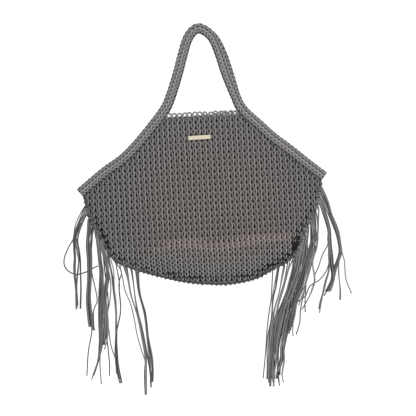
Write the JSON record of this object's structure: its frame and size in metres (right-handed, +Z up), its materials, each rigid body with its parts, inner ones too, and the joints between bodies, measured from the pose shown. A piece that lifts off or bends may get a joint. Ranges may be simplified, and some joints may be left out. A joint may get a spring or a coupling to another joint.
{
  "type": "shoulder bag",
  "caption": "Wide knitted cord shoulder bag with knitted straps, open looped mouth, folded belly, fringe at both sides and a small bare metal plate.",
  "frame": {"origin": "hanging point, where a shoulder or a hook carries the undersides of the two straps", "axes": "+Z up as it hangs, front faces -Y, +X to the right seen from the front"},
  "size_m": [0.5458, 0.1001, 0.731],
  "materials": {
    "net_cord": "twisted grey cord, knitted in open stitches",
    "strap_cord": "twisted grey cord, knitted closely",
    "fringe_cord": "twisted grey cord, loose strands",
    "plate_metal": "pale brushed plate, bare"
  },
  "bodies": {
    "root": {"front_panel": "net_cord", "back_panel": "net_cord", "front_strap": "strap_cord", "back_strap": "strap_cord", "front_mouth_loops": "net_cord", "back_mouth_loops": "net_cord", "bottom_seam": "net_cord", "left_side_fringe": "fringe_cord", "left_base_fringe": "fringe_cord", "right_base_fringe": "fringe_cord", "right_side_fringe": "fringe_cord", "name_plate": "plate_metal"}
  },
  "joints": []
}
